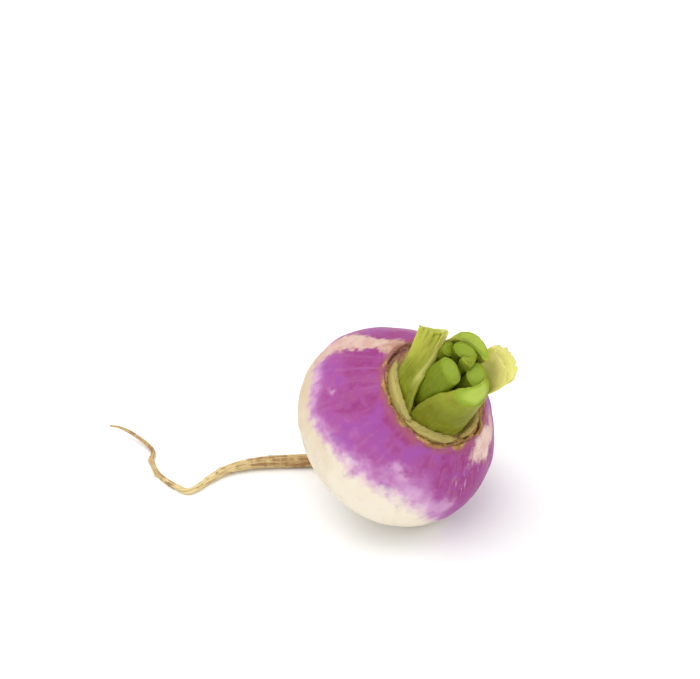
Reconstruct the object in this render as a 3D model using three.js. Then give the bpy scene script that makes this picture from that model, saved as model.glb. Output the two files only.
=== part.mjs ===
// A purple-top turnip, harvested and trimmed: one swollen root that runs on into its taproot, the cut stubs of its
// leaf stalks round a small heart, and the dry bases of older leaves round the crown.
// It lies as such a turnip does when it is put down: on the side of its bulb, tipped over and propped by its taproot.
// Millimetres. +X to the right, +Y away, +Z up. The origin is the middle of the small flat where the bulb rests.
import * as THREE from "three";

const { degToRad, lerp } = THREE.MathUtils;

// The bulb. Its own frame has the crown up its Z axis and the widest ring at height 0.
const BULB_RADIUS = 33;
const CROWN_FLOOR = 24.2; // height of the flat crown that the stalks grow from
const CROWN_LIP = 25.0; // height of the corky rim round it
const CROWN_RADIUS = 16.1;
const LIP_RADIUS = 18.2;
const TAIL_START = -22; // below this height the root is a thin tail, which bends
const TAIL_LENGTH = 98;

// How it lies.
const TILT = degToRad(36.8); // of the crown away from upright
const LEAN = degToRad(-36.2); // which way it tips, turned from +X
const CENTRE = new THREE.Vector3(-12.1, 8.9, 24.25);
const PRESSED = 0.6;

const GAP = 0.3; // between neighbouring pieces
const BULB_SIDES = 32;

// Half of the root's outline as [radius, height], from the middle of the crown to the tip of the taproot, drawn straight.
const CROWN_OUTLINE = [
  [0, CROWN_FLOOR],
  [CROWN_RADIUS / 2, CROWN_FLOOR],
  [CROWN_RADIUS, CROWN_FLOOR],
];
const BULB_OUTLINE = [
  [17.1, 24.75],
  [LIP_RADIUS, CROWN_LIP],
  [21.1, 22.4],
  [24.6, 18.7],
  [28.6, 13.3],
  [31.7, 7.2],
  [BULB_RADIUS, 0],
  [31.9, -4.6],
  [29.2, -8.2],
  [24.2, -12],
  [17.6, -15],
  [11.6, -17],
  [7.2, -18.6],
  [4.6, -20.4],
  [3.3, TAIL_START],
];
const TAIL_OUTLINE = [
  [3.3, TAIL_START],
  [2.1, -32],
  [1.95, -49],
  [1.0, -76],
  [0.85, -90],
  [0.45, -107],
  [0.2, TAIL_START - TAIL_LENGTH + 1],
];

// The middle line of the taproot from where the bulb ends: down to the table, along it, and up a little at its tip.
const TAIL_ROUTE = [
  [-22.8, 16.8, 6.7],
  [-28.2, 19.6, 3.4],
  [-34.5, 20.2, 2.25],
  [-44.5, 19.9, 2.0],
  [-52, 19.4, 1.95],
  [-59, 18.2, 1.8],
  [-65.5, 16, 1.45],
  [-71, 11.6, 1.15],
  [-74.8, 7.4, 1.0],
  [-77.8, 5.8, 0.92],
  [-81.2, 8, 0.86],
  [-85.4, 12, 0.75],
  [-88.6, 17.2, 0.65],
  [-90, 22.2, 0.7],
  [-89.8, 26, 1.0],
  [-92.6, 29.8, 1.7],
  [-96.8, 33.4, 2.5],
  [-101, 35.6, 3.4],
  [-104.4, 35.8, 4],
];

// Stalk stubs. facing is the way a stalk's back looks, in degrees round the crown. At the foot its section is an arc
// about the crown's middle, and at the cut it is an arc of radius bend whose middle is at cut. belly is how much wider
// it is halfway up, or narrower where it is below 0, and slope tips the cut: how far it falls from back to front.
const STALKS = {
  left_outer_stalk: {
    facing: 232, turn: 86, foot: { radius: 12.4, width: 15.6, depth: 3.6 },
    cut: { at: [-14.8, 1.2], bend: 11, width: 9.8, depth: 2.6 }, belly: -5.2, length: 17.8, slope: 1.5,
  },
  front_outer_stalk: {
    facing: 326, turn: 19, foot: { radius: 12.3, width: 23.6, depth: 3.6 },
    cut: { at: [8.6, -4.5], bend: 8.6, width: 16, depth: 4.4 }, belly: 3, length: 19.6, slope: -4,
  },
  right_outer_stalk: {
    facing: 60, turn: 4, foot: { radius: 12.2, width: 10, depth: 3 },
    cut: { at: [7.8, 14.4], bend: 7, width: 15, depth: 2.4 }, belly: 0, length: 20, slope: 3,
  },
  back_outer_stalk: {
    facing: 131, turn: -27, foot: { radius: 12.2, width: 16.4, depth: 3 },
    cut: { at: [-4.1, 8.4], bend: 6.8, width: 13.4, depth: 3.2 }, belly: 0, length: 21.2, slope: 2,
  },
  left_inner_stalk: {
    facing: 254, turn: -10, foot: { radius: 6.4, width: 9.4, depth: 4.6 },
    cut: { at: [-2.5, -5.6], bend: 12, width: 7.8, depth: 6.8 }, belly: 0, length: 20, slope: 1,
  },
  far_left_inner_stalk: {
    facing: 170, turn: 4, foot: { radius: 7.2, width: 4.2, depth: 3.4 },
    cut: { at: [-7.6, 0.3], bend: 9, width: 4.2, depth: 3.1 }, belly: 0, length: 18.4, slope: 1,
  },
  back_inner_stalk: {
    facing: 118, turn: 0, foot: { radius: 6, width: 6.4, depth: 4.4 },
    cut: { at: [-3.7, 3.1], bend: 8, width: 6.2, depth: 4.2 }, belly: 0, length: 20.4, slope: 1,
  },
  right_inner_stalk: {
    facing: 26, turn: 6, foot: { radius: 6.2, width: 8.6, depth: 4.6 },
    cut: { at: [4, 1.6], bend: 7, width: 6.4, depth: 4.8 }, belly: 0, length: 19.6, slope: 1,
  },
  heart_bud: {
    facing: 80, turn: 60, foot: { radius: 0.9, width: 2.2, depth: 2.2 },
    cut: { at: [-0.4, 1.5], bend: 3, width: 2.6, depth: 2.2 }, belly: 0, length: 19.6, slope: 0,
  },
};

// Dry bases of older leaves, each a thin low arc just inside the crown's rim.
const LEAF_BASES = {
  left_leaf_base: { facing: 235, radius: 15.1, width: 20.6, depth: 1.2, height: 3.8 },
  front_leaf_base: { facing: 307, radius: 15.1, width: 15.6, depth: 1.2, height: 2.4 },
  right_leaf_base: { facing: 12, radius: 15.1, width: 13, depth: 1, height: 1.8 },
  back_leaf_base: { facing: 105, radius: 15.1, width: 17, depth: 1, height: 2.6 },
};

const SKIN = new THREE.MeshStandardMaterial({ color: 0xa855a0, roughness: 0.4, metalness: 0 });
const STALK = new THREE.MeshStandardMaterial({ color: 0x9cb53c, roughness: 0.45, metalness: 0 });
const HEART = new THREE.MeshStandardMaterial({ color: 0x7fae32, roughness: 0.5, metalness: 0 });
const DRY = new THREE.MeshStandardMaterial({ color: 0xc2b460, roughness: 0.8, metalness: 0 });

const fromBulb = new THREE.Matrix4()
  .makeRotationZ(LEAN)
  .multiply(new THREE.Matrix4().makeRotationY(TILT))
  .setPosition(CENTRE);

// Points spread evenly along a smooth line through an outline's points.
function smooth(outline, steps) {
  return new THREE.SplineCurve(outline.map(([r, z]) => new THREE.Vector2(r, z))).getSpacedPoints(steps);
}

// The whole root as a straight turned shape, on +Z.
function straightRoot() {
  const profile = [
    ...CROWN_OUTLINE.map(([r, z]) => new THREE.Vector2(r, z)),
    ...smooth(BULB_OUTLINE, 30),
    ...smooth(TAIL_OUTLINE, 34).slice(1),
    new THREE.Vector2(0, TAIL_START - TAIL_LENGTH),
  ];
  // turned by half a side, so that the bulb lies on a side and not on an edge between two
  return new THREE.LatheGeometry(profile.reverse(), BULB_SIDES, Math.PI / BULB_SIDES).rotateX(Math.PI / 2);
}

// Evenly spaced places along the taproot's route, each with two directions across it that never twist.
function tailFrames(steps) {
  const route = new THREE.CatmullRomCurve3(TAIL_ROUTE.map((p) => new THREE.Vector3(...p)), false, "centripetal");
  const across = new THREE.Vector3().setFromMatrixColumn(fromBulb, 0);
  return route.getSpacedPoints(steps).map((at, i) => {
    const along = route.getTangentAt(i / steps);
    across.addScaledVector(along, -across.dot(along)).normalize();
    return { at, across: across.clone(), beside: new THREE.Vector3().crossVectors(across, along) };
  });
}

// Places the root: the bulb is tipped over, its tail is bent along the route, and what is within PRESSED of the table
// is pressed flat on it, which makes the resting flat.
function turnipRoot() {
  const geometry = straightRoot();
  const points = geometry.getAttribute("position");
  const steps = 400;
  const frames = tailFrames(steps);
  const p = new THREE.Vector3();
  for (let i = 0; i < points.count; i++) {
    p.fromBufferAttribute(points, i);
    const below = (TAIL_START - p.z) / TAIL_LENGTH;
    if (below > 0) {
      const { at, across, beside } = frames[Math.round(Math.min(below, 1) * steps)];
      p.set(at.x + across.x * p.x + beside.x * p.y, at.y + across.y * p.x + beside.y * p.y,
        at.z + across.z * p.x + beside.z * p.y);
    } else {
      p.applyMatrix4(fromBulb);
    }
    points.setXYZ(i, p.x, p.y, p.z < PRESSED ? 0 : p.z);
  }
  return named("turnip_root", geometry, SKIN);
}

// A block of the given steps, each point of which, from -1 to 1 across and through and 0 to 1 up, goes to place(point).
function shaped(name, steps, material, place) {
  const geometry = new THREE.BoxGeometry(2, 2, 1, ...steps);
  const points = geometry.getAttribute("position");
  for (let i = 0; i < points.count; i++) {
    points.setXYZ(i, ...place(points.getX(i), points.getY(i), points.getZ(i) + 0.5));
  }
  return named(name, geometry, material);
}

function named(name, geometry, material) {
  const mesh = new THREE.Mesh(geometry, material);
  mesh.name = name;
  return mesh;
}

// How thick a lens-shaped section is at a place across it, as a share of its depth.
const lens = (across) => 0.35 + 0.65 * Math.sqrt(1 - across * across);

// A point of an arc of the given radius about [x, y]: a section's outward distance there is radius + out.
function onArc([x, y], radius, angle, out) {
  return [x + (radius + out) * Math.cos(angle), y + (radius + out) * Math.sin(angle)];
}

function stalk(name, { facing, turn, foot, cut, belly, length, slope }) {
  const material = name === "heart_bud" ? HEART : STALK;
  const back = degToRad(facing);
  const cutBack = degToRad(facing + turn);
  const cutMiddle = onArc(cut.at, -cut.bend, cutBack, 0);
  return shaped(name, [10, 2, 8], material, (across, through, up) => {
    const radius = lerp(foot.radius, cut.bend, up);
    const width = lerp(foot.width, cut.width, up) + belly * Math.sin(Math.PI * up);
    const halfAngle = width / 2 / radius;
    const out = (through * lens(across) * lerp(foot.depth, cut.depth, up)) / 2;
    const bending = up ** 1.5; // it rises straight and then bends and turns
    const middle = [cutMiddle[0] * bending, cutMiddle[1] * bending];
    const [x, y] = onArc(middle, radius, lerp(back, cutBack, bending) - across * halfAngle, out);
    return [x, y, CROWN_FLOOR + GAP + up * (length + (slope * through) / 2)];
  });
}

function leafBase(name, { facing, radius, width, depth, height }) {
  const halfAngle = width / 2 / radius;
  return shaped(name, [12, 1, 2], DRY, (across, through, up) => {
    const out = (through * lens(across) * depth) / 2;
    const [x, y] = onArc([0, 0], radius, degToRad(facing) - across * halfAngle, out);
    return [x, y, CROWN_FLOOR + GAP + up * height * (1 - 0.6 * across * across)];
  });
}

const crown = new THREE.Group();
crown.applyMatrix4(fromBulb);
for (const [name, size] of Object.entries(STALKS)) crown.add(stalk(name, size));
for (const [name, size] of Object.entries(LEAF_BASES)) crown.add(leafBase(name, size));

const turnip = new THREE.Group();
turnip.add(turnipRoot(), crown);

export default turnip;
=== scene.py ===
"""A harvested purple-top turnip on a table: root and taproot, cut leaf stalks and dry leaf bases.

It is laid out as an add-on and run as a script. Lengths in the shape functions are millimetres, and MM makes
them metres.
"""

import bpy
import numpy as np
from bpy.props import FloatProperty, FloatVectorProperty, PointerProperty
from mathutils import Matrix, Vector


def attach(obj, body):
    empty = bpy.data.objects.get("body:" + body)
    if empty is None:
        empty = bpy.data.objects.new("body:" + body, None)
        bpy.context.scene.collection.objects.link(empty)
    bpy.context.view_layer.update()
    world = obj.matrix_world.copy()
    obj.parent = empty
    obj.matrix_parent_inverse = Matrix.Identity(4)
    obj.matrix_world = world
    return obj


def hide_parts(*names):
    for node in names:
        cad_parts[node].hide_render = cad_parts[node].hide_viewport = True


bl_info = {
    "name": "Purple-top turnip",
    "version": (1, 0, 0),
    "blender": (4, 5, 0),
    "location": "3D View > Sidebar > Turnip",
    "description": "Makes the root, the cut stalks and the stage of a turnip around its packed frame",
    "category": "Object",
}

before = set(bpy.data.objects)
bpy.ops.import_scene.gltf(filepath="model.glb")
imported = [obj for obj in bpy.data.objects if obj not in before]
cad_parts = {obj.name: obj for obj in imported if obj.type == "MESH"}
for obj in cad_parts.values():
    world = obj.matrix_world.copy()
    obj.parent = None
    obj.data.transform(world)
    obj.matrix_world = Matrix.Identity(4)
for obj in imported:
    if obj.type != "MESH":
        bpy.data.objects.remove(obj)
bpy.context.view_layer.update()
MM = 0.001
ROOT_BODY = "root"

# How the bulb lies. Its own frame has the crown up its Z axis and the widest ring at height 0.
TILT = np.radians(36.8)
LEAN = np.radians(-36.2)
CENTRE = np.array([-12.1, 8.9, 24.25])
BULB_AXES = np.array(Matrix.Rotation(LEAN, 3, "Z") @ Matrix.Rotation(TILT, 3, "Y"))

# The flat crown, half of the bulb's outline as (radius, height) from the collar down, and the taproot's as
# (radius, distance along it). TAIL_ROUTE is the taproot's middle line as it lies on the table.
CROWN_FLOOR = 24.2
CROWN_RADIUS = 16.1
GAP = 0.3  # above the crown, where a stalk's length starts; its foot goes on down into the crown
TAIL_START = -22.0
BULB_OUTLINE = [
    (17.1, 24.75), (18.2, 25.0), (21.1, 22.4), (24.6, 18.7), (28.6, 13.3), (31.7, 7.2), (33.0, 0.0),
    (31.9, -4.6), (29.2, -8.2), (24.2, -12.0), (17.6, -15.0), (11.6, -17.0), (7.2, -18.6), (4.6, -20.4),
    (3.3, TAIL_START),
]
TAIL_OUTLINE = [(3.3, 0), (2.1, 10), (1.95, 27), (1.0, 54), (0.85, 68), (0.45, 85), (0.2, 97)]
TAIL_LENGTH = 98.0
TAIL_ROUTE = [
    (-22.8, 16.8, 6.7), (-28.2, 19.6, 3.4), (-34.5, 20.2, 2.25), (-44.5, 19.9, 2.0), (-52.0, 19.4, 1.95),
    (-59.0, 18.2, 1.8), (-65.5, 16.0, 1.45), (-71.0, 11.6, 1.15), (-74.8, 7.4, 1.0), (-77.8, 5.8, 0.92),
    (-81.2, 8.0, 0.86), (-85.4, 12.0, 0.75), (-88.6, 17.2, 0.65), (-90.0, 22.2, 0.7), (-89.8, 26.0, 1.0),
    (-92.6, 29.8, 1.7), (-96.8, 33.4, 2.5), (-101.0, 35.6, 3.4), (-104.4, 35.8, 4.0),
]

# The collar's rim and the cracks inside and outside it, as distances from the crown's middle.
RIM_RADIUS = 17.8
INNER_CRACK_RADIUS = 16.7
OUTER_CRACK_RADIUS = 18.9

# Where the surface changes, in degrees round the crown. The inner crack is shallow on the healed side.
TORN_SIDE = 184
STREAK_SIDE = 178
PATCH_SIDE = 20
HEALED_SIDE = 300
SCRATCHED_SIDE = 344

# How high above the widest ring the purple begins, as (degrees round the crown, height).
PURPLE_EDGE = [
    (0, -3.0), (60, -2.0), (120, -4.0), (175, 1.0), (190, 4.0), (208, 6.6), (226, 6.4), (236, 5.4),
    (250, 8.6), (272, 10.4), (292, 12.0), (304, 12.3), (314, 11.6), (322, 9.6), (330, 5.0), (341, 0.4),
    (360, -3.0),
]

# Pale skin and painted highlights in the purple: degrees round the crown, height, and half of their width
# and of their height.
PALE_PATCHES_AND_HIGHLIGHTS = [
    (291, 17.2, 2.6, 1.6), (298, 15.6, 2.6, 1.4), (311, 13.0, 4.2, 1.8), (334, 8.5, 6.0, 3.0),
    (224, 12.6, 1.2, 1.4),
]

# Nubs on the taproot: how far along it, on which side of it in degrees, and how high.
NUBS = [(13, 250, 0.5), (27, 60, 0.4), (44, 200, 0.3), (70, 285, 0.75), (76.5, 200, 0.6)]

# The stalks. facing is the way a stalk's back looks at its foot, in degrees round the crown, and turn is
# how much further round it looks at the cut. foot is the radius, width and depth of its section there, an
# arc about the crown's middle. At the cut the section is an arc of radius bend with its middle at cut,
# and size is its width and depth. belly is how much wider it is halfway up, or narrower where it is below
# 0, and slope tips the cut. rag is how deep its torn edge is, round how far its rim is rounded off and
# ribs how many run up it. tone is painted light, from olive where painted shaded to lime where painted
# lit, green deepens it, pale adds yellow, above 0.7 partly as painted light, and show is how plainly the
# cut stands out.
STALKS = {
    "left_outer_stalk": dict(
        facing=232, turn=86, foot=(12.4, 16.0, 3.6), cut=(-14.6, 1.2), bend=11, size=(10.4, 2.6), belly=-4.8,
        length=17.8, slope=1.5, rag=0.9, round=0.3, ribs=6, tone=0.5, pale=0.62, show=0.0, green=0.0,
    ),
    "front_outer_stalk": dict(
        facing=326, turn=19, foot=(12.3, 23.6, 3.6), cut=(8.4, -4.2), bend=8.6, size=(16, 5.0), belly=3,
        length=19.6, slope=-4, rag=0.12, round=0.5, ribs=11, tone=0.1, pale=0.1, show=1.0, green=0.0,
    ),
    "right_outer_stalk": dict(
        facing=60, turn=4, foot=(12.2, 10, 3.0), cut=(7.8, 14.4), bend=7, size=(15, 2.4), belly=0,
        length=20, slope=3, rag=0.8, round=0.3, ribs=6, tone=1.0, pale=1.6, show=0.0, green=0.0,
    ),
    "back_outer_stalk": dict(
        facing=131, turn=-27, foot=(12.2, 16.4, 3.0), cut=(-4.1, 8.4), bend=6.8, size=(13.4, 3.2), belly=0,
        length=21.2, slope=2, rag=0.12, round=0.6, ribs=9, tone=0.7, pale=0.35, show=0.7, green=0.25,
    ),
    "left_inner_stalk": dict(
        facing=254, turn=-10, foot=(6.4, 9.4, 4.6), cut=(-2.4, -5.7), bend=12, size=(8.4, 7.2), belly=0.8,
        length=20, slope=1, rag=0.08, round=0.6, ribs=6, tone=0.2, pale=0.0, show=0.5, green=0.5,
    ),
    "far_left_inner_stalk": dict(
        facing=170, turn=4, foot=(7.2, 4.2, 3.6), cut=(-7.5, 0.6), bend=9, size=(5.0, 3.8), belly=0.6,
        length=18.4, slope=1, rag=0.1, round=0.6, ribs=4, tone=0.1, pale=0.0, show=0.1, green=0.5,
    ),
    "back_inner_stalk": dict(
        facing=118, turn=0, foot=(6.0, 6.4, 4.4), cut=(-3.8, 3.5), bend=8, size=(7.8, 4.8), belly=1.4,
        length=20.4, slope=1, rag=0.08, round=0.7, ribs=4, tone=0.2, pale=0.0, show=0.45, green=0.5,
    ),
    "right_inner_stalk": dict(
        facing=26, turn=6, foot=(6.2, 8.6, 4.6), cut=(3.8, 1.3), bend=7, size=(8.0, 6.4), belly=1.8,
        length=19.6, slope=1, rag=0.08, round=0.7, ribs=5, tone=0.2, pale=0.0, show=0.5, green=0.5,
    ),
}

# The heart, in the same terms as a stalk.
HEART = dict(
    facing=80, turn=60, foot=(0.9, 2.2, 2.2), cut=(-0.9, 1.4), bend=3, size=(3.4, 3.4), belly=0,
    length=20.6, slope=0, ribs=0, tone=0.5, pale=0.1, show=0.4, green=0.4,
)

# The leaf bases, each at a radius from the crown's middle. tone goes from dry to fresh.
LEAF_BASES = {
    "left_leaf_base": dict(facing=235, radius=15.0, width=22.5, depth=2.8, height=3.9, tone=0.7),
    "front_leaf_base": dict(facing=304, radius=15.0, width=20, depth=3.3, height=2.1, tone=0.5),
    "right_leaf_base": dict(facing=12, radius=15.1, width=14, depth=2.4, height=1.5, tone=0.15),
    "back_leaf_base": dict(facing=105, radius=15.1, width=17.5, depth=1.7, height=2.6, tone=0.4),
}


# ---------------------------------------------------------------- shapes

def smooth_line(points, places):
    """A Catmull-Rom line: at each place, from 0 to 1, the cubic between two points that leaves each of them
    along the line between its two neighbours."""
    points = np.asarray(points, float)
    last = len(points) - 1
    steps = np.clip(places, 0, 1) * last
    first = np.minimum(steps.astype(int), last - 1)
    t = (steps - first)[:, None]
    start, end = points[first], points[first + 1]
    leave = (end - points[np.maximum(first - 1, 0)]) / 2
    arrive = (points[np.minimum(first + 2, last)] - start) / 2
    return (
        start * (1 + 2 * t) * (1 - t) ** 2 + leave * t * (1 - t) ** 2
        + end * t**2 * (3 - 2 * t) + arrive * t**2 * (t - 1)
    )


def spaced_line(points, spacing):
    """The smooth line through points, at the given shares of its length, from 0 to 1."""
    places = np.linspace(0, 1, 1600)
    line = smooth_line(points, places)
    run = np.concatenate([[0], np.cumsum(np.linalg.norm(np.diff(line, axis=0), axis=1))])
    return smooth_line(points, np.interp(np.asarray(spacing) * run[-1], run, places))


def ripples(points, size, seed):
    """Smooth noise, mostly -1 to 1: a sum of cosine waves about size long, each with its way and phase."""
    waves = 28
    draw = np.random.default_rng(seed)
    ways = draw.normal(size=(waves, points.shape[-1]))
    ways /= np.linalg.norm(ways, axis=1, keepdims=True) * size * draw.uniform(0.7, 1.5, (waves, 1))
    phases = draw.uniform(0, 2 * np.pi, waves)
    return np.cos(2 * np.pi * (points @ ways.T) + phases).sum(axis=-1) / np.sqrt(waves)


def hump(distance, width):
    """1 at distance 0, falling as a bell to about a third at width."""
    return np.exp(-((distance / width) ** 2))


def ease(value, low, high):
    """0 below low and 1 above high, with a smooth S between them."""
    t = np.clip((value - low) / (high - low), 0, 1)
    return t * t * (3 - 2 * t)


def degrees_from(azimuth, middle):
    """How many degrees azimuth is past middle, from -180 to 180."""
    return (azimuth - middle + 180) % 360 - 180


def outward(points):
    """The unit normals of a grid of points whose rows run down a shape and whose columns run round it."""
    down = np.gradient(points, axis=0)
    ring = np.roll(points, -1, axis=1) - np.roll(points, 1, axis=1)
    normals = np.cross(down, ring)
    return normals / np.maximum(np.linalg.norm(normals, axis=-1, keepdims=True), 1e-9)


def from_bulb(points):
    """Points of the bulb's own frame, placed as the bulb lies."""
    return points @ BULB_AXES.T + CENTRE


def add_piece(name, rings, marks, material, node):
    """A closed mesh of rings of points, in millimetres, each end closed to the middle of its ring.

    The rings run from the top down, which makes the faces point outwards. Each mark is a number or a vector
    for every point, kept as an attribute that the material reads.
    """
    rows, sides = rings.shape[:2]
    count = rows * sides
    ends = [0, -1]
    points = np.vstack([rings.reshape(-1, 3), rings[ends].mean(axis=1)]) * MM
    here = np.arange(sides)
    after = (here + 1) % sides
    row = np.arange(rows - 1)[:, None] * sides
    quads = np.stack([row + here, row + sides + here, row + sides + after, row + after], -1).reshape(-1, 4)
    head = np.stack([np.full(sides, count), here, after], -1)
    foot = np.stack([np.full(sides, count + 1), count - sides + after, count - sides + here], -1)
    mesh = bpy.data.meshes.new(name)
    mesh.from_pydata(points.tolist(), [], quads.tolist() + head.tolist() + foot.tolist())
    for mark, values in marks.items():
        values = np.asarray(values, np.float32)
        width = values.shape[2:]
        flat = np.concatenate([values.reshape(count, *width), values[ends].mean(axis=1)])
        attribute = mesh.attributes.new(mark, "FLOAT_VECTOR" if width else "FLOAT", "POINT")
        attribute.data.foreach_set("vector" if width else "value", flat.ravel())
    mesh.shade_smooth()
    mesh.materials.append(material)
    piece = bpy.data.objects.new(name, mesh)
    bpy.context.scene.collection.objects.link(piece)
    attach(piece, ROOT_BODY)
    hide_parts(node)
    return piece


def bulb_profile():
    """The bulb's outline from the middle of the crown to where the taproot starts, and how far along it each
    point is. The points are closest at the collar."""
    places = np.linspace(0, 1, 1600)
    crown = np.linspace([0.35, CROWN_FLOOR], [CROWN_RADIUS, CROWN_FLOOR], 100)
    line = np.vstack([crown, smooth_line(BULB_OUTLINE, places)])
    run = np.concatenate([[0], np.cumsum(np.linalg.norm(np.diff(line, axis=0), axis=1))])
    collar_start, collar_end = 14, 22.5
    stops = np.concatenate([
        np.linspace(0, collar_start, 12, endpoint=False),
        np.linspace(collar_start, collar_end, 52, endpoint=False),
        np.linspace(collar_end, run[-1], 132, endpoint=False),
    ])
    return np.stack([np.interp(stops, run, line[:, 0]), np.interp(stops, run, line[:, 1])], -1), stops


def tail_rings(rows):
    """The taproot's middle line, radius and two directions across it, at even steps along it.

    The first direction is the bulb's own X axis with its part along the tail taken off, so it never twists.
    """
    share = np.linspace(0, 1, rows)
    middle = spaced_line(TAIL_ROUTE, share)
    along = np.gradient(middle, axis=0)
    along /= np.linalg.norm(along, axis=1, keepdims=True)
    across = BULB_AXES[:, 0] - (along @ BULB_AXES[:, 0])[:, None] * along
    across /= np.linalg.norm(across, axis=1, keepdims=True)
    outline = np.array(TAIL_OUTLINE)
    thinnest = 0.85 - 0.55 * share**8
    radius = np.maximum(np.interp(share * TAIL_LENGTH, outline[:, 1], outline[:, 0]), thinnest)
    blur = np.ones(9) / 9
    radius[4:-4] = np.convolve(radius, blur, "valid")
    return middle, radius, across, np.cross(across, along)


def root_shape(relief, crust):
    """The root: rings of its outline about its axis, moved in and out by soft dents, a cracked crust at the
    collar and wrinkles along the taproot. Also gives the marks that its skin needs."""
    sides = 256
    profile, run = bulb_profile()
    tail_middle, tail_radius, tail_across, tail_beside = tail_rings(144)
    turn = np.linspace(0, 2 * np.pi, sides, endpoint=False)
    azimuth = np.degrees(turn)[None, :]
    rows = len(profile)
    radius = np.concatenate([profile[:, 0], tail_radius])[:, None]
    axis = BULB_AXES[:, 2]
    middle = np.vstack([CENTRE + profile[:, 1:] * axis, tail_middle])
    across = np.vstack([np.tile(BULB_AXES[:, 0], (rows, 1)), tail_across])
    beside = np.vstack([np.tile(BULB_AXES[:, 1], (rows, 1)), tail_beside])
    spokes = np.cos(turn)[None, :, None] * across[:, None] + np.sin(turn)[None, :, None] * beside[:, None]
    smooth = middle[:, None] + radius[:, :, None] * spokes
    normals = outward(smooth)

    height = np.concatenate([profile[:, 1], np.full(len(tail_middle), TAIL_START)])[:, None] + 0 * azimuth
    on_tail = ease(np.arange(len(radius))[:, None] + 0 * azimuth, rows - 16, rows + 14)
    tail_along = run[-1] + np.linspace(0, TAIL_LENGTH, len(tail_middle))
    along = np.concatenate([run, tail_along])[:, None] + 0 * azimuth
    circle = np.stack([np.cos(turn), np.sin(turn)], -1)[None]
    around = circle * np.maximum(radius, 0.2)[:, :, None]
    grain = np.dstack([around, along])
    lanes = np.dstack([circle * 22 + 0 * around, along])
    on_top = ease(height, 20.0, 23.5)

    # soft dents and swellings, and the shallow furrows that run down from the crown
    move = relief * (ripples(smooth, 34, 1) + 0.5 * ripples(smooth, 15, 2)) * ease(radius, 4, 16)
    furrows = ripples(np.dstack([around * 0.9, along * 0.12]), 5.5, 3)
    move += 0.3 * relief * furrows * ease(radius, 8, 22) * (1 - on_top)

    # the collar: a low ragged corky rim, with a crack inside it and broken ones outside it
    wander = ripples(circle * 17 + 0 * around, 9, 4)
    nibble = ripples(smooth, 2.1, 5) + 0.6 * ripples(smooth, 1.1, 6)
    broken = ease(ripples(smooth, 6.5, 7), -0.5, 0.5)
    rim = hump(radius - RIM_RADIUS - 0.3 * wander, 1.15) * on_top
    healed = 1 - 0.7 * hump(degrees_from(azimuth, HEALED_SIDE), 45)
    inner_crack = hump(radius - INNER_CRACK_RADIUS - 0.35 * wander, 0.4) * on_top
    inner_crack = inner_crack * (0.1 + 0.9 * broken) * healed
    outer_crack = hump(radius - OUTER_CRACK_RADIUS - 0.6 * wander, 0.25)
    outer_crack = outer_crack * ease(height, 19, 22) * ease(broken, 0.55, 0.9)
    floor = on_top * (1 - ease(radius, 16.8, 17.6))
    move += crust * (rim * (0.35 * nibble + 0.3 * broken - 0.45) - 1.3 * inner_crack - 0.35 * outer_crack)
    move += 0.5 * crust * floor * nibble * ease(radius, 4, 9)

    # the torn place inside the rim, and the corky streak that runs down from it
    torn = hump(degrees_from(azimuth, TORN_SIDE), 25) * hump(radius - 16.9, 2.3) * on_top
    move -= crust * torn * (0.8 + 0.5 * nibble)
    streak_middle = STREAK_SIDE + 5 * ease(24 - height, 0, 8) + 8 * ease(24 - height, 14, 22)
    off_streak = np.radians(degrees_from(azimuth, streak_middle)) * radius
    streak_width = 1.5 + 0.23 * np.clip(25 - height, 0, 22) + 4.0 * ease(height, 20.5, 24.5)
    streak = np.clip(1.25 * hump(off_streak + 0.5 * nibble, streak_width), 0, 1) * ease(height, -4, 6)
    patch = 1.5 * hump(degrees_from(azimuth, PATCH_SIDE), 24) * hump(height - 20.6, 3.8)
    patch = patch * ease(radius, 18.4, 19.4) * (0.75 + 0.25 * ripples(smooth, 7, 8))
    move += 0.25 * crust * nibble * streak * (1 - on_top)

    # pale skin and painted highlights in the purple
    pale_and_highlight = 0 * height
    for place, level, wide, tall in PALE_PATCHES_AND_HIGHLIGHTS:
        sideways = np.radians(degrees_from(azimuth, place)) * radius
        upward = height - level
        pale_and_highlight = np.maximum(pale_and_highlight, hump(sideways + 0.5 * nibble, wide) * hump(upward + 0.25 * nibble, tall))

    # the taproot: wrinkles along it, rings across its thick end, and a few nubs
    wrinkles = ripples(np.dstack([around / radius[:, :, None] * 1.1, along * 0.022]), 0.75, 9)
    bands = ripples(np.dstack([around / radius[:, :, None] * 0.3, along]), 1.9, 10)
    thick = np.clip(radius, 0.2, 3.3)
    move += on_tail * thick * (0.075 * wrinkles + 0.035 * bands)
    tail_run = along - run[-1]
    for place, side, rise in NUBS:
        nub = hump(tail_run - place, 0.85) * hump(degrees_from(azimuth, side) * np.radians(1) * thick, 0.8)
        move += on_tail * rise * nub

    points = smooth + move[:, :, None] * normals
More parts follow.
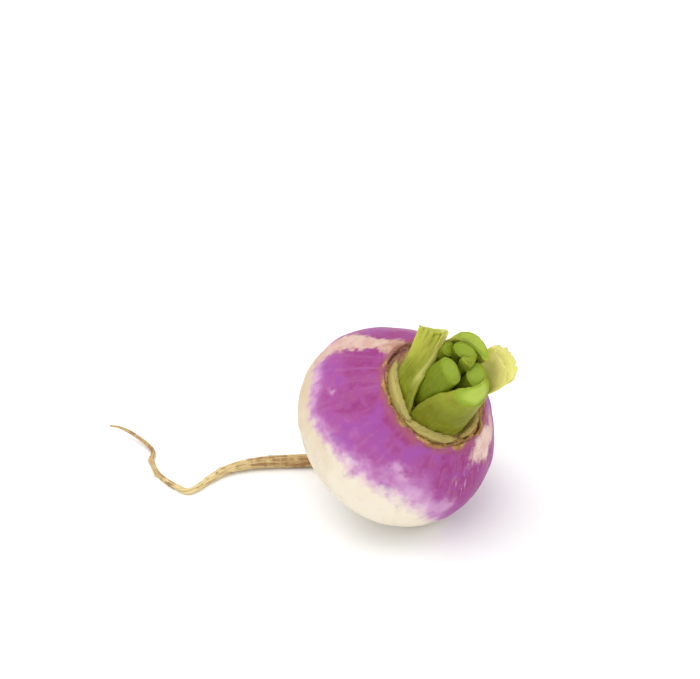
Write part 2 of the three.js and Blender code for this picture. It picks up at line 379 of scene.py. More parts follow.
    # what is near the table is pressed flat on it
    clearance = points[:, :, 2]
    pressed = 0.45
    points[:, :, 2] = np.where(clearance < pressed, pressed * ease(clearance, 0.1, pressed), clearance)
    edge = np.array(PURPLE_EDGE, float)
    marks = {
        "edge_height": height - np.interp(azimuth, edge[:, 0], edge[:, 1]),
        "cork": np.clip(np.maximum(streak * (1 - 0.25 * on_top), patch), 0, 1),
        "crust": np.clip(rim * 0.85 * (0.45 + 0.55 * broken) + floor, 0, 1),
        "flush": hump(radius - 18.2, 1.5) * ease(height, 18, 22),
        "crack": np.clip(inner_crack + 0.6 * outer_crack, 0, 1),
        "torn": torn,
        "pale_and_highlight": pale_and_highlight,
        "scratched": hump(degrees_from(azimuth, SCRATCHED_SIDE), 9) * hump(height - 15, 4),
        # painted shade and warmth: the side of the cream painted darker and warmer
        "warm_shaded_side": hump(degrees_from(azimuth, 195), 52) + 0 * height,
        "softness": hump(degrees_from(azimuth, 312), 36) + 0 * height,
        # painted shade: the side whose purple is painted deeper
        "shade_side": hump(degrees_from(azimuth, 120), 62) + 0 * height,
        "tail": on_tail,
        "along": along,
        "grain": grain,
        "lanes": lanes,
    }
    return points, marks


def stalk_rings(shape, flare, rib):
    """Rings of a stalk in the crown's frame, from the middle of its cut down to its foot. A ring is a lens
    bent along an arc: across goes as the cosine of the way round it and its depth as the sine. The arc's
    middle, radius and facing go from the foot's to the cut's as it rises, and shrinking rings close the cut.

    Gives the rings, how far up the stalk each is, how near the middle of the cut, and each point's place
    across and through.
    """
    sides, rows, cap_rows = 120, 58, 12
    turn = np.linspace(0, 2 * np.pi, sides, endpoint=False)[None, :]
    up = np.concatenate([np.ones(cap_rows), np.linspace(1, -0.055, rows)])[:, None]
    shrink = np.concatenate([np.linspace(0.03, 1, cap_rows + 1)[:-1], np.ones(rows)])[:, None]
    cap = 1 - shrink
    across = np.cos(turn) * shrink
    through = np.sin(turn) * shrink
    foot_radius, foot_width, foot_depth = shape["foot"]
    width, depth = shape["size"]
    back = np.radians(shape["facing"])
    cut_back = np.radians(shape["facing"] + shape["turn"])
    rise = np.clip(up, 0, 1)
    bending = rise**1.5
    radius = foot_radius + (shape["bend"] - foot_radius) * rise
    wide = foot_width + (width - foot_width) * rise + shape["belly"] * np.sin(np.pi * rise)
    half_angle = wide / 2 / radius
    deep = (foot_depth + (depth - foot_depth) * rise) / 2
    blunt = 0.35 * np.sign(through) * np.sqrt(np.abs(through)) + 0.65 * through
    spread = 1 + flare * np.exp(-rise / 0.07)
    ribs = rib * np.cos(np.pi * shape["ribs"] * across) * np.abs(through) ** 0.5
    ribs = ribs * (1 - 0.8 * (cap > 0))
    out = deep * blunt * spread + ribs * np.sign(through) * (0.4 + 0.6 * (through > 0))
    angle = back + (cut_back - back) * bending - across * half_angle * (1 + 0.03 * spread)
    middle_x = (shape["cut"][0] - shape["bend"] * np.cos(cut_back)) * bending
    middle_y = (shape["cut"][1] - shape["bend"] * np.sin(cut_back)) * bending
    x = middle_x + (radius + out) * np.cos(angle)
    y = middle_y + (radius + out) * np.sin(angle)
    z = CROWN_FLOOR + up * (shape["length"] + shape["slope"] * through / 2) + GAP
    rings = np.stack([x, y, z], -1)
    return rings, up + 0 * turn, cap + 0 * turn, across + 0 * up, through + 0 * up


def stalk_shape(shape, seed, rib):
    """A cut stalk: the bent lens with fine ribs, a torn or clean edge, and a cut sunk within its rim."""
    rings, up, cap, across, through = stalk_rings(shape, 0.12, rib)
    sway = ripples(rings, 9, seed)
    uneven = ripples(rings, 3.2, seed + 1)
    near_cut = ease(up, 0.84, 1)
    at_rim = 1 - ease(cap, 0.0, 0.55)
    arc = across * shape["size"][0] / 2
    tear = ripples(np.dstack([arc, through]), 4.5, seed + 2)
    teeth = ripples(np.dstack([arc, through * 0.2]), 1.25, seed + 3)
    outer_rim = ease(through, -0.5, 0.5)
    drop = shape["rag"] * near_cut * at_rim * (0.4 * tear + 0.7 * teeth * outer_rim)
    hollow = ease(cap, 0, 0.25) - 0.6 * ease(cap, 0.2, 0.9)
    sunk = 0.25 * shape["show"] * hollow + 0.08 * uneven * ease(cap, 0, 0.2)
    round_from = 1 - 1.2 * shape["round"] / shape["length"]
    rounding = shape["round"] * (1 - ease(cap, 0, 0.45)) * ease(up, round_from, 1)
    lift = drop - sunk - rounding
    normals = outward(rings)
    side_only = 1 - ease(cap, 0, 0.05)
    rings = rings - normals * (side_only * (0.14 * sway + 0.09 * uneven))[:, :, None]
    rings[:, :, 2] += lift
    marks = {
        "up": up,
        "cut": ease(cap, 0.0, 0.06),
        "inside_cut": cap,
        "across": across,
        "through": through,
        "grain": np.dstack([arc, through * shape["size"][1] / 2, up * shape["length"]]),
    }
    return from_bulb(rings), marks


def heart_shape():
    """The bud in the middle: small folded leaves, as a lobed stalk with a spiral furrow in its round top."""
    rings, up, cap, across, through = stalk_rings(HEART, 0.3, 0.0)
    turn = np.arctan2(through, across)
    centre = rings.mean(axis=1, keepdims=True)
    lobes = 1 + 0.1 * np.cos(3 * turn + 4 * up) * ease(up, 0.55, 0.9)
    closing = 1 + 0.3 * hump(up - 0.9, 0.1)
    rings = centre + (rings - centre) * (lobes * closing)[:, :, None]
    furrow = hump((turn / (2 * np.pi) + 1.6 * (1 - cap)) % 1 - 0.5, 0.16)
    wound = furrow * ease(cap, 0.02, 0.15) * (1 - ease(cap, 0.8, 1))
    rings[:, :, 2] += 0.9 * ease(cap, 0, 1) - 0.45 * wound
    marks = {
        "up": up,
        "cut": ease(cap, 0.0, 0.3) * furrow,
        "inside_cut": cap,
        "across": across,
        "through": through,
        "grain": np.dstack([across, through, up * HEART["length"]]),
    }
    return from_bulb(rings), marks


def leaf_base_shape(shape, seed):
    """A dry leaf base: a low bank along an arc just inside the rim, thin at its ends, with a torn top. Its
    rings run from the middle of the top down to its foot."""
    sides, rows, cap_rows = 150, 12, 9
    turn = np.linspace(0, 2 * np.pi, sides, endpoint=False)[None, :]
    up = np.concatenate([np.ones(cap_rows), np.linspace(1, -0.25, rows)])[:, None]
    shrink = np.concatenate([np.linspace(0.04, 1, cap_rows + 1)[:-1], np.ones(rows)])[:, None]
    across = np.sign(np.cos(turn)) * np.abs(np.cos(turn)) ** 0.8 * shrink
    through = np.sin(turn) * shrink
    half_angle = shape["width"] / 2 / shape["radius"]
    out = through * shape["depth"] / 2 - 0.35 * up * through + 0.5 * np.clip(up, 0, 1)
    angle = np.radians(shape["facing"]) - across * half_angle
    sideways = across * shape["width"] / 2
    arc = np.dstack([sideways, through * shape["depth"] / 2, up * shape["height"] + 0 * turn])
    torn = 0.2 * ripples(arc[:, :, :1], 3.4, seed + 1) + 0.09 * ripples(arc[:, :, :1], 1.2, seed + 2)
    tall = shape["height"] * (1 - 0.6 * across**2) + torn * ease(up, 0.5, 1)
    z = CROWN_FLOOR + up * tall - 0.35 * through * up
    z = z + 0.3 * ease(1 - shrink, 0, 0.6) * ease(up, 0.9, 1)
    x = (shape["radius"] + out) * np.cos(angle)
    y = (shape["radius"] + out) * np.sin(angle)
    rings = np.stack([x, y, z + 0 * x], -1)
    rough = 0.06 * ripples(arc, 1.9, seed + 3) * ease(shrink, 0.3, 1)
    rings = rings - outward(rings) * rough[:, :, None]
    marks = {"up": up + 0 * turn, "through": through + 0 * up, "across": across + 0 * up, "grain": arc}
    return from_bulb(rings), marks


# ---------------------------------------------------------------- materials

class Wire:
    """One output of a shader node. The usual signs on it add the Math nodes that work them out."""

    def __init__(self, paint, socket):
        self.paint, self.socket = paint, socket

    def maths(self, operation, *values):
        """The Math node for an operation, with values that are wires or numbers."""
        node = self.paint.node("ShaderNodeMath", {"operation": operation}, dict(enumerate(values)))
        return Wire(self.paint, node.outputs[0])

    def __add__(self, other):
        return self.maths("ADD", self, other)

    def __sub__(self, other):
        return self.maths("SUBTRACT", self, other)

    def __rsub__(self, other):
        return self.maths("SUBTRACT", other, self)

    def __mul__(self, other):
        return self.maths("MULTIPLY", self, other)

    __radd__, __rmul__ = __add__, __mul__


class Paint:
    """A material in the making: a Principled shader and the nodes that feed it."""

    def __init__(self, name, **constants):
        self.material = bpy.data.materials.new(name)
        self.material.use_nodes = True
        self.tree = self.material.node_tree
        self.shader = self.tree.nodes["Principled BSDF"]
        for socket, value in constants.items():
            self.shader.inputs[socket.replace("_", " ")].default_value = value

    def node(self, kind, settings, sockets):
        """Adds a node: its settings first, and then each socket's value or wire."""
        node = self.tree.nodes.new(kind)
        for setting, value in settings.items():
            setattr(node, setting, value)
        for socket, value in sockets.items():
            if isinstance(value, Wire):
                self.tree.links.new(value.socket, node.inputs[socket])
            else:
                node.inputs[socket].default_value = value
        return node

    def mark(self, name, vector=False):
        """An attribute of the piece."""
        node = self.node("ShaderNodeAttribute", {"attribute_name": name}, {})
        return Wire(self, node.outputs["Vector" if vector else "Fac"])

    def stretch(self, vector, by):
        """A vector whose parts are each multiplied."""
        node = self.node("ShaderNodeVectorMath", {"operation": "MULTIPLY"}, {0: vector, 1: by})
        return Wire(self, node.outputs[0])

    def noise(self, vector, scale, detail=2.0, distortion=0.0):
        """Cloudy noise from about 0.3 to 0.7, with scale cells to each unit of the vector."""
        values = {"Vector": vector, "Scale": scale, "Detail": detail, "Distortion": distortion}
        node = self.node("ShaderNodeTexNoise", {}, values)
        return Wire(self, node.outputs["Fac"])

    def specks(self, vector, scale):
        """The distance to the nearest of scattered points."""
        values = {"Vector": vector, "Scale": scale, "Randomness": 1.0}
        node = self.node("ShaderNodeTexVoronoi", {"feature": "F1"}, values)
        return Wire(self, node.outputs["Distance"])

    def ease(self, value, low, high, start=0.0, end=1.0):
        """start below low and end above high, with a smooth S between them."""
        values = {"Value": value, "From Min": low, "From Max": high, "To Min": start, "To Max": end}
        node = self.node("ShaderNodeMapRange", {"interpolation_type": "SMOOTHSTEP"}, values)
        return Wire(self, node.outputs[0])

    def mix(self, first, second, share):
        """From the first colour to the second as share goes from 0 to 1."""
        first, second = (part if isinstance(part, Wire) else (*part, 1.0) for part in (first, second))
        node = self.node("ShaderNodeMix", {"data_type": "RGBA"}, {0: share, 6: first, 7: second})
        return Wire(self, node.outputs[2])

    def finish(self, colour, roughness, height, distance):
        """Feeds the shader its colour, its roughness and the normal of a height in the given metres."""
        bump = self.node("ShaderNodeBump", {}, {"Height": height, "Distance": distance, "Strength": 1.0})
        for socket, wire in (("Base Color", colour), ("Roughness", roughness)):
            self.tree.links.new(wire.socket, self.shader.inputs[socket])
        self.tree.links.new(bump.outputs[0], self.shader.inputs["Normal"])
        return self.material


def skin_material(settings):
    """The root's skin: cream below and purple above a soft cloudy edge, with pale patches that are partly
    painted highlights, painted shade on one side, a corky streak and rim, brown cracks and a tan taproot."""
    paint = Paint("root_skin", Specular_IOR_Level=0.07, Subsurface_Weight=0.06, Subsurface_Scale=0.002,
                  Subsurface_Radius=(1.0, 0.5, 0.5))
    grain = paint.mark("grain", vector=True)
    edge, tail, cork, pale_and_highlight = (paint.mark(name) for name in ("edge_height", "tail", "cork", "pale_and_highlight"))
    crust, crack, flush, torn = (paint.mark(name) for name in ("crust", "crack", "flush", "torn"))
    clouds = paint.noise(grain, 0.09, 3)
    blotches = paint.noise(grain, 0.26, 3)
    fringe = paint.noise(paint.stretch(grain, (1, 1, 0.45)), 0.5, 4)
    lanes = paint.mark("lanes", vector=True)
    streaks = paint.noise(paint.stretch(lanes, (1, 1, 0.07)), 0.5, 3)
    fine = paint.noise(grain, 2.6, 3)
    pores = paint.noise(grain, 7.0, 2)

    # the cream, with painted shade and warmth on one side, and a few faint rust specks
    warm_shaded_side = paint.mark("warm_shaded_side")
    painted_shade_and_warmth = warm_shaded_side + 1.1 * (clouds - 0.5) + 0.25 * (fine - 0.5)
    cream = paint.mix(settings.cream, settings.cream_shade, paint.ease(painted_shade_and_warmth, 0.05, 0.85))
    rust = paint.ease(paint.specks(paint.stretch(grain, (1, 1, 2.0)), 0.3), 0.09, 0.03)
    cream = paint.mix(cream, settings.rust, 0.22 * rust * paint.ease(blotches, 0.5, 0.62))

    # the purple comes in over several millimetres, first as a pale haze and then as lilac
    soft = paint.mark("softness")
    reach = edge + 3.0 * (fringe - 0.5) + 7.0 * (blotches - 0.5) + (streaks - 0.5) - 0.4 * soft
    narrow = 1.0 - 0.45 * soft
    purple = paint.mix(settings.pale_lilac, settings.lilac, paint.ease(reach * narrow, -2.4, 1.6))
    purple = paint.mix(purple, settings.purple, paint.ease(reach * narrow, -0.4, 4.4))
    depth = paint.ease(reach + 22.0 * (clouds - 0.5), 4.0, 14.0)
    purple = paint.mix(purple, settings.deep_purple, depth * paint.ease(blotches, 0.34, 0.62, 0.4, 1.0))
    thin = paint.ease(streaks + 0.8 * (blotches - 0.5), 0.5, 0.72)
    purple = paint.mix(purple, settings.lilac, thin * 0.2)
    bluer = paint.ease(clouds + 0.4 * (blotches - 0.5), 0.46, 0.36)
    purple = paint.mix(purple, settings.violet, bluer * 0.6)
    # painted shade: deeper purple on the side round 120 degrees, where the top edge is seen at a grazing
    # angle
    painted_side_shade = paint.mark("shade_side") * paint.ease(reach, 2.0, 7.0)
    purple = paint.mix(purple, settings.deep_purple, painted_side_shade * 0.8)
    # painted highlights: pale patches, partly pale skin and partly painted highlight
    pale_and_highlight_share = paint.ease(pale_and_highlight + 0.9 * (fringe - 0.5) + 0.4 * (streaks - 0.5), 0.1, 1.0)
    purple = paint.mix(purple, settings.pale_lilac, pale_and_highlight_share * 0.7)
    scratch = paint.noise(paint.stretch(lanes, (1, 1, 0.16)), 1.5, 1, 0.4)
    scratches = paint.ease(scratch, 0.6, 0.66) * paint.ease(paint.mark("scratched"), 0.2, 0.7)
    purple = paint.mix(purple, settings.pale, 0.35 * scratches)
    colour = paint.mix(cream, purple, paint.ease(reach * narrow, -3.6, 0.4))

    # the flush round the rim, the corky streak and patch, the rim itself, the torn place and the cracks
    redness = flush + 1.1 * (blotches - 0.5) + 0.8 * (fringe - 0.5) + 0.4 * (fine - 0.5)
    colour = paint.mix(colour, settings.flush, paint.ease(redness, 0.0, 1.2) * 0.85)
    pinker = paint.ease(blotches + 0.5 * (fine - 0.5), 0.42, 0.6)
    corky = paint.mix(settings.cork, settings.cork_pink, pinker)
    near_rim = paint.ease(edge + 12.0 * (fringe - 0.5), 17.0, 25.0)
    corky = paint.mix(corky, settings.cork_brown, (0.32 + 0.66 * near_rim) * warm_shaded_side)
    cork_share = paint.ease(cork + 0.9 * (fringe - 0.5) + 0.6 * (fine - 0.5), 0.2, 0.7)
    colour = paint.mix(colour, corky, cork_share * 0.92)
    rim_colour = paint.mix(settings.crust, settings.crust_pale, paint.ease(fine, 0.42, 0.62))
    rusty = paint.ease(blotches + 0.4 * (fine - 0.5), 0.47, 0.62)
    rim_colour = paint.mix(rim_colour, settings.rust, rusty * 0.7)
    rim_share = paint.ease(crust + 0.6 * (fine - 0.5) + 0.5 * (blotches - 0.5), 0.4, 0.72)
    colour = paint.mix(colour, rim_colour, rim_share)
    browner = paint.ease(fine + 0.5 * (blotches - 0.5), 0.46, 0.62)
    scar = paint.mix(settings.torn, settings.cork_brown, browner)
    colour = paint.mix(colour, scar, paint.ease(torn + 0.8 * (blotches - 0.5), 0.3, 0.6))
    colour = paint.mix(colour, settings.crack, paint.ease(crack + 0.5 * (fine - 0.5), 0.4, 0.9) * 0.85)

    # the taproot: tan, with yellow and brown streaks along it, browner to its tip
    lengthwise = paint.noise(paint.stretch(grain, (2.4, 2.4, 0.16)), 0.9, 3)
    bands = paint.noise(paint.stretch(grain, (0.5, 0.5, 1)), 0.55, 3)
    along = paint.mark("along")
    near_bulb, near_tip = paint.ease(along, 140.0, 100.0), paint.ease(along, 140.0, 165.0)
    pale_streaks = paint.ease(lengthwise, 0.3, 0.52) * (1.0 - 0.75 * near_bulb) * (1.0 - 0.45 * near_tip)
    taproot = paint.mix(settings.taproot, settings.taproot_pale, pale_streaks)
    brown = paint.ease(lengthwise + 0.6 * (bands - 0.5) + 0.12 * near_bulb + 0.1 * near_tip, 0.58, 0.68)
    taproot = paint.mix(taproot, settings.rust, brown * 0.75)
    colour = paint.mix(colour, taproot, paint.ease(tail + 0.6 * (blotches - 0.5), 0.35, 0.75))

    rough = paint.ease(cork_share + rim_share + tail, 0.0, 1.0, 0.4, 0.78) + 0.14 * (fine - 0.5)
    dents = 0.14 * fine + 0.12 * streaks + 0.03 * pores + 0.3 * fringe
    dents = dents + cork_share * fine + 1.2 * rim_share * fine + 0.5 * tail * lengthwise + 0.2 * scratches
    return paint.finish(colour, rough, dents, 0.14 * MM)


def stalk_material(name, settings, shape):
    """A cut stalk: ribbed green with painted light from olive to lime, yellower to its margins and top, a
    painted highlight along one ridge, its juicy cut paler and ringed by skin.
    """
    tone, green, pale, show = (shape[key] for key in ("tone", "green", "pale", "show"))
    yellowing = min(pale, 1.0)
    paint = Paint(name, Specular_IOR_Level=0.16, Subsurface_Weight=0.3, Subsurface_Scale=0.003,
                  Subsurface_Radius=(0.9, 1.0, 0.25))
    grain = paint.mark("grain", vector=True)
    up, cut, inside = paint.mark("up"), paint.mark("cut"), paint.mark("inside_cut")
    across, through = paint.mark("across"), paint.mark("through")
    clouds = paint.noise(grain, 0.16, 2)
    fine = paint.noise(grain, 1.6, 3)
    lines = paint.noise(paint.stretch(grain, (1, 1, 0.06)), 1.5, 3)
    margin = paint.ease(across * across, 0.6, 1.0)
    # painted light: olive where painted shaded and lime where painted lit, lighter towards the top; tone
    # sets how lit the stalk is painted
    rise = clouds + 0.4 * (lines - 0.5) + 0.4 * up
    lit = paint.ease(rise, 0.55, 0.95, 0.3 * tone, 0.3 + 0.7 * tone)
    body = paint.mix(settings.olive, settings.lime, lit)
    body = paint.mix(body, settings.deep_green, paint.ease(fine, 0.0, 0.4, 0.5 * green, green))
    upper = paint.ease(up + 0.8 * (clouds - 0.5), 0.35, 0.95)
    body = paint.mix(body, settings.yellow, upper * yellowing)
    body = paint.mix(body, settings.yellow, margin * (0.06 + 0.6 * yellowing))
    body = paint.mix(body, settings.deep_green, paint.ease(lines, 0.5, 0.66) * (0.25 - 0.12 * pale))
    body = paint.mix(body, settings.yellow, paint.ease(lines, 0.48, 0.36) * (0.04 + 0.2 * pale))
    # painted highlight: a pale band along the ridge near one margin, on the upper part
    painted_ridge_highlight = paint.ease(across, -0.3, -0.55) * paint.ease(across, -1.0, -0.75)
    body = paint.mix(body, settings.pale_yellow, painted_ridge_highlight * paint.ease(up, 0.3, 0.6) * yellowing * 0.8)
    foot = 1 - paint.ease(up + 0.3 * (fine - 0.5), 0.0, 0.16)
    body = paint.mix(body, settings.yellow, foot * 0.25)
    # paler than 0.7, a stalk goes pale yellow to its top: partly its straw colour, partly painted light
    # where its neighbours shade it
    pale_top_straw_and_light = paint.ease(up + 0.7 * (clouds - 0.5), 0.4, 1.0)
    body = paint.mix(body, settings.pale_yellow, pale_top_straw_and_light * max(pale - 0.7, 0.0))
    spots = paint.ease(paint.specks(paint.stretch(grain, (1, 1, 0.5)), 0.5), 0.1, 0.04)
    body = paint.mix(body, settings.brown, spots * paint.ease(clouds, 0.5, 0.62) * 0.4)

    pale_share = paint.ease(inside + 0.9 * (clouds - 0.5), 0.05, 0.6, 0.0, show)
    pith = paint.mix(settings.cut, settings.cut_pale, pale_share)
    strands = paint.ease(paint.specks(paint.stretch(grain, (1, 1, 0)), 0.75), 0.2, 0.1)
    ring = paint.ease(inside, 0.12, 0.3) * paint.ease(inside, 0.62, 0.42)
    pith = paint.mix(pith, settings.olive, strands * ring * 0.3)
    pith = paint.mix(pith, settings.lime, paint.ease(inside, 0.16, 0.02) * 0.6)
    shown = paint.mix(body, pith, 0.12 + 0.88 * show)
    colour = paint.mix(body, shown, cut)
    lip = paint.ease(up, 0.94, 1.0) * (1 - paint.ease(inside, 0.0, 0.3))
    colour = paint.mix(colour, settings.brown, lip * paint.ease(fine, 0.54, 0.7) * (0.1 + 0.35 * pale))

    rough = paint.ease(cut, 0.0, 1.0, 0.48, 0.42) + 0.2 * (fine - 0.5)
    dents = 0.8 * lines * (1 - cut) + 0.5 * fine - 0.3 * strands * cut
    return paint.finish(colour, rough, dents, 0.2 * MM)


def leaf_base_material(name, settings, tone):
    """A dry leaf base: pale lime where it is fresh, straw and brown where it has dried, in papery lines."""
    paint = Paint(name, Specular_IOR_Level=0.25, Subsurface_Weight=0.06, Subsurface_Scale=0.0015,
                  Subsurface_Radius=(1.0, 0.8, 0.3))
    grain = paint.mark("grain", vector=True)
    up, through, across = paint.mark("up"), paint.mark("through"), paint.mark("across")
    clouds = paint.noise(grain, 0.35, 3)
    fine = paint.noise(grain, 2.4, 3)
    lines = paint.noise(paint.stretch(grain, (1, 1, 0.15)), 1.9, 2)
    fresh = paint.ease(clouds + 0.3 * (fine - 0.5) + 0.25 * up, 0.4, 0.75, tone * 0.4, tone)
    colour = paint.mix(settings.straw, settings.fresh_base, fresh)
    dry = paint.ease(lines + 0.5 * (clouds - 0.5), 0.56, 0.74) * (0.8 - 0.7 * tone)
    colour = paint.mix(colour, settings.brown, dry)
    low = 1 - paint.ease(up + 0.6 * (fine - 0.5), 0.0, 0.4)
    colour = paint.mix(colour, settings.brown, low * 0.4)
    ends = paint.ease(across * across + 0.5 * (clouds - 0.5), 0.6, 1.0)
    colour = paint.mix(colour, settings.brown, ends * 0.5)
    outer = paint.ease(through + 1.2 * (clouds - 0.5), 0.6, 1.0)
    colour = paint.mix(colour, settings.brown, outer * (0.35 - 0.3 * tone))
    rough = paint.ease(fine, 0.3, 0.7, 0.55, 0.85)
    return paint.finish(colour, rough, 0.3 * fine + 0.6 * lines, 0.2 * MM)


def floor_material(colour):
    """The pale floor, with the faintest unevenness."""
    paint = Paint("pale_floor", Specular_IOR_Level=0.2)
    place = Wire(paint, paint.node("ShaderNodeTexCoord", {}, {}).outputs["Object"])
    clouds = paint.noise(place, 6.0, 2)
    shade = paint.mix(colour, tuple(0.985 * part for part in colour), clouds)
    return paint.finish(shade, paint.ease(clouds, 0.3, 0.7, 0.8, 0.9), clouds, 0.01 * MM)


# ---------------------------------------------------------------- settings

def colour_setting(name, description, default):
    """A colour that the user can change."""
    return FloatVectorProperty(
        name=name, description=description, default=default, subtype="COLOR", min=0, max=1, size=3)


class TurnipRootSettings(bpy.types.PropertyGroup):
    """Sizes and colours of the root."""

    relief: FloatProperty(
        name="Dents", description="How far the soft dents of the skin go in and out",
        default=0.25 * MM, unit="LENGTH")
    crust_relief: FloatProperty(
        name="Crust", description="How far the corky rim stands out and its cracks go in",
        default=0.5 * MM, unit="LENGTH")
    cream: colour_setting("Cream", "Skin of the lower half", (0.76, 0.69, 0.56))
    # painted shade and warmth on one side of the cream
    cream_shade: colour_setting("Warm cream", "Warmer places in the cream", (0.6, 0.48, 0.33))
    purple: colour_setting("Purple", "Skin of the upper half", (0.35, 0.085, 0.3))
    deep_purple: colour_setting("Deep purple", "The darkest of the purple", (0.28, 0.04, 0.18))
    violet: colour_setting("Violet", "Bluer places in the purple", (0.3, 0.07, 0.33))
    lilac: colour_setting("Lilac", "Where the purple is thin", (0.49, 0.22, 0.44))
    pale_lilac: colour_setting("Pale lilac", "The palest of the purple", (0.6, 0.36, 0.56))
    pale: colour_setting("Scratches", "Fine scratches in the purple", (0.7, 0.52, 0.6))
    cork: colour_setting("Cork", "Corky streak and patch", (0.76, 0.6, 0.5))
    cork_pink: colour_setting("Pink cork", "Pinker places in the cork", (0.68, 0.45, 0.41))
    cork_brown: colour_setting("Brown cork", "Corky places by the rim", (0.42, 0.22, 0.13))
    flush: colour_setting("Flush", "Red-brown skin round the rim", (0.33, 0.1, 0.12))
    crust: colour_setting("Crust", "The corky rim", (0.36, 0.19, 0.07))
    crust_pale: colour_setting("Pale crust", "Paler places of the rim", (0.54, 0.36, 0.13))
    rust: colour_setting("Rust", "Brown stains and streaks", (0.24, 0.1, 0.045))
    crack: colour_setting("Crack", "Inside the cracks", (0.13, 0.05, 0.025))
    torn: colour_setting("Torn skin", "The torn place by the rim", (0.3, 0.11, 0.11))
    taproot: colour_setting("Taproot", "Skin of the taproot", (0.44, 0.29, 0.12))
    taproot_pale: colour_setting("Pale taproot", "Yellow streaks of the taproot", (0.7, 0.58, 0.3))


class TurnipLeafSettings(bpy.types.PropertyGroup):
    """Sizes and colours of the cut stalks, the heart and the dry leaf bases."""

    rib: FloatProperty(
        name="Ribs", description="Height of the fine ribs along a stalk", default=0.07 * MM, unit="LENGTH")
    # painted light: olive is the painted shade and lime the painted light of one green
    olive: colour_setting("Olive", "Shaded backs of the stalks", (0.165, 0.17, 0.006))
    lime: colour_setting("Lime", "Lit sides of the stalks", (0.28, 0.35, 0.015))
    deep_green: colour_setting("Deep green", "Inner stalks, and lines between ribs", (0.115, 0.19, 0.004))
    yellow: colour_setting("Yellow lime", "Margins and tops", (0.48, 0.47, 0.075))
    pale_yellow: colour_setting("Pale yellow", "The palest stalk", (0.72, 0.66, 0.22))
    cut: colour_setting("Cut", "The cut faces", (0.23, 0.33, 0.018))
    cut_pale: colour_setting("Pale cut", "Middles of the cut faces", (0.4, 0.5, 0.075))
    straw: colour_setting("Straw", "Dry leaf bases", (0.36, 0.26, 0.07))
    fresh_base: colour_setting("Fresh base", "Leaf bases where they are still fresh", (0.46, 0.42, 0.13))
    brown: colour_setting("Brown", "Dried edges", (0.2, 0.1, 0.03))


class TurnipStageSettings(bpy.types.PropertyGroup):
    """The floor, the lights and the camera."""

    floor_colour: colour_setting("Floor", "Colour of the floor", (0.92, 0.92, 0.92))
    key_power: FloatProperty(
        name="Key light", description="Power of the light above", default=7, min=0, unit="POWER")
    fill_power: FloatProperty(
        name="Fill light", description="Power of the light in front", default=2.5, min=0, unit="POWER")
    sky: FloatProperty(name="Sky", description="Strength of the light from all round", default=0.95, min=0)
    elevation: FloatProperty(
        name="Elevation", description="The camera's height angle", default=np.radians(36), subtype="ANGLE")
    distance: FloatProperty(
        name="Distance", description="From the camera to the bulb", default=0.8, unit="LENGTH")
    field: FloatProperty(
        name="Field", description="Width of the view at the bulb's middle", default=0.2196, unit="LENGTH")


# ---------------------------------------------------------------- operators

class TURNIP_OT_root(bpy.types.Operator):
    """Makes the root with its taproot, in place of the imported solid"""

    bl_idname = "turnip.root"
    bl_label = "Make root"

    def execute(self, context):
        settings = context.scene.turnip_root
        points, marks = root_shape(settings.relief / MM, settings.crust_relief / MM)
        add_piece("swollen_root", points, marks, skin_material(settings), "turnip_root")
        return {"FINISHED"}


class TURNIP_OT_stalks(bpy.types.Operator):
    """Makes the cut leaf stalks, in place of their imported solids"""

    bl_idname = "turnip.stalks"
    bl_label = "Make stalks"

    def execute(self, context):
        settings = context.scene.turnip_leaf
        for number, (node, shape) in enumerate(STALKS.items()):
            points, marks = stalk_shape(shape, 100 + 10 * number, settings.rib / MM)
            material = stalk_material(f"{node}_green", settings, shape)
            add_piece(f"cut_{node}", points, marks, material, node)
        return {"FINISHED"}


class TURNIP_OT_heart(bpy.types.Operator):
    """Makes the small bud of folded leaves in the middle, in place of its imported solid"""

    bl_idname = "turnip.heart"
    bl_label = "Make heart"

    def execute(self, context):
        points, marks = heart_shape()
        material = stalk_material("heart_green", context.scene.turnip_leaf, HEART)
        add_piece("folded_heart", points, marks, material, "heart_bud")
        return {"FINISHED"}


class TURNIP_OT_leaf_bases(bpy.types.Operator):
    """Makes the dry bases of older leaves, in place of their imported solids"""

    bl_idname = "turnip.leaf_bases"
    bl_label = "Make leaf bases"

    def execute(self, context):
        settings = context.scene.turnip_leaf
        for number, (node, shape) in enumerate(LEAF_BASES.items()):
            points, marks = leaf_base_shape(shape, 300 + 10 * number)
            material = leaf_base_material(f"{node}_skin", settings, shape["tone"])
            add_piece(f"dry_{node}", points, marks, material, node)
        return {"FINISHED"}


def add_light(name, place, size, power):
    """A square soft light at a place, looking at the turnip."""
    light = bpy.data.lights.new(name, "AREA")
    light.size, light.energy = size, power
    lamp = bpy.data.objects.new(name, light)
    way = Vector(CENTRE * MM) - Vector(place)
    lamp.matrix_world = Matrix.Translation(place) @ way.to_track_quat("-Z", "Y").to_matrix().to_4x4()
    lamp.visible_camera = False
    bpy.context.scene.collection.objects.link(lamp)


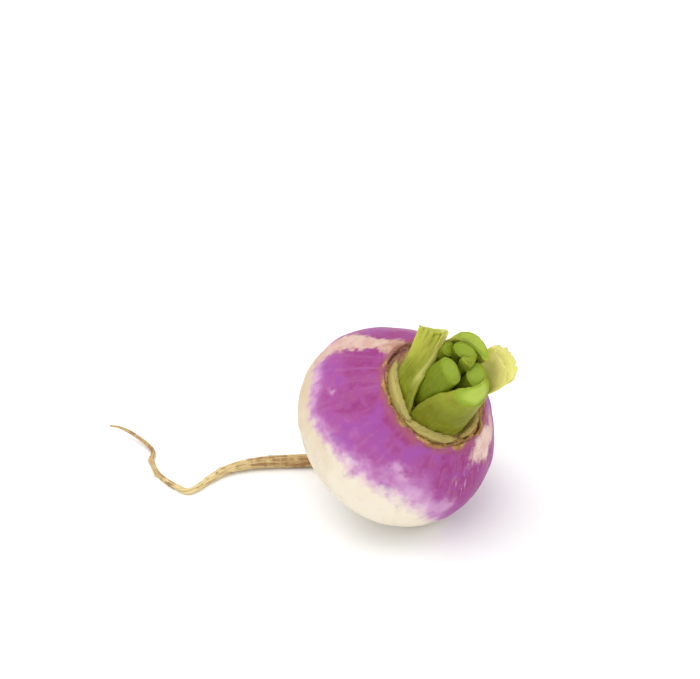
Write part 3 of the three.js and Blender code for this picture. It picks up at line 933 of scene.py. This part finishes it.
class TURNIP_OT_stage(bpy.types.Operator):
    """Makes the floor, the soft lights and the camera"""

    bl_idname = "turnip.stage"
    bl_label = "Make stage"

    def execute(self, context):
        settings = context.scene.turnip_stage
        scene = context.scene
        mesh = bpy.data.meshes.new("floor")
        # 8 m square, and a hair below the turnip
        reach, low = 4.0, -0.02 * MM
        corners = [(-reach, -reach, low), (reach, -reach, low), (reach, reach, low), (-reach, reach, low)]
        mesh.from_pydata(corners, [], [(0, 1, 2, 3)])
        mesh.materials.append(floor_material(tuple(settings.floor_colour)))
        floor = bpy.data.objects.new("floor", mesh)
        scene.collection.objects.link(floor)

        add_light("key", (-0.36, 0.12, 1.2), 1.0, settings.key_power)
        add_light("fill", (0.35, -1.0, 0.4), 0.9, settings.fill_power)
        world = bpy.data.worlds.new("studio")
        world.use_nodes = True
        world.node_tree.nodes["Background"].inputs["Color"].default_value = (1.0, 1.0, 1.0, 1.0)
        world.node_tree.nodes["Background"].inputs["Strength"].default_value = settings.sky
        scene.world = world
        scene.view_settings.view_transform = "Standard"

        # the camera looks along +Y and down, past the bulb's left and top, so that the taproot is in view
        facing = Matrix.Rotation(np.pi / 2 - settings.elevation, 4, "X")
        right, up, back = (Vector(facing.col[i][:3]) for i in range(3))
        aim_left, aim_above = 13.8 * MM, 27.6 * MM
        aim = Vector(CENTRE * MM) - aim_left * right + aim_above * up
        camera = bpy.data.cameras.new("camera")
        camera.sensor_width = 36
        camera.lens = camera.sensor_width * settings.distance / settings.field
        camera.clip_start = 0.01
        watcher = bpy.data.objects.new("camera", camera)
        watcher.matrix_world = Matrix.Translation(aim + settings.distance * back) @ facing
        scene.collection.objects.link(watcher)
        scene.camera = watcher
        return {"FINISHED"}


class TURNIP_PT_panel(bpy.types.Panel):
    """The turnip's settings and operators in the sidebar"""

    bl_idname = "TURNIP_PT_panel"
    bl_label = "Turnip"
    bl_space_type = "VIEW_3D"
    bl_region_type = "UI"
    bl_category = "Turnip"

    def draw(self, context):
        for settings, operators in (
            (context.scene.turnip_root, (TURNIP_OT_root,)),
            (context.scene.turnip_leaf, (TURNIP_OT_stalks, TURNIP_OT_heart, TURNIP_OT_leaf_bases)),
            (context.scene.turnip_stage, (TURNIP_OT_stage,)),
        ):
            box = self.layout.box()
            for setting in settings.__annotations__:
                box.prop(settings, setting)
            for operator in operators:
                box.operator(operator.bl_idname)


GROUPS = {
    "turnip_root": TurnipRootSettings,
    "turnip_leaf": TurnipLeafSettings,
    "turnip_stage": TurnipStageSettings,
}
OPERATORS = (TURNIP_OT_root, TURNIP_OT_stalks, TURNIP_OT_heart, TURNIP_OT_leaf_bases, TURNIP_OT_stage)


def register():
    """Adds the classes and keeps each group of settings on the scene."""
    for kind in (*GROUPS.values(), *OPERATORS, TURNIP_PT_panel):
        bpy.utils.register_class(kind)
    for name, group in GROUPS.items():
        setattr(bpy.types.Scene, name, PointerProperty(type=group))


def unregister():
    """Takes away what register added."""
    for name in GROUPS:
        delattr(bpy.types.Scene, name)
    for kind in reversed((*GROUPS.values(), *OPERATORS, TURNIP_PT_panel)):
        bpy.utils.unregister_class(kind)


def main():
    """Makes the whole turnip and its stage."""
    register()
    bpy.ops.turnip.root()
    bpy.ops.turnip.stalks()
    bpy.ops.turnip.heart()
    bpy.ops.turnip.leaf_bases()
    bpy.ops.turnip.stage()


if __name__ == "__main__":
    main()
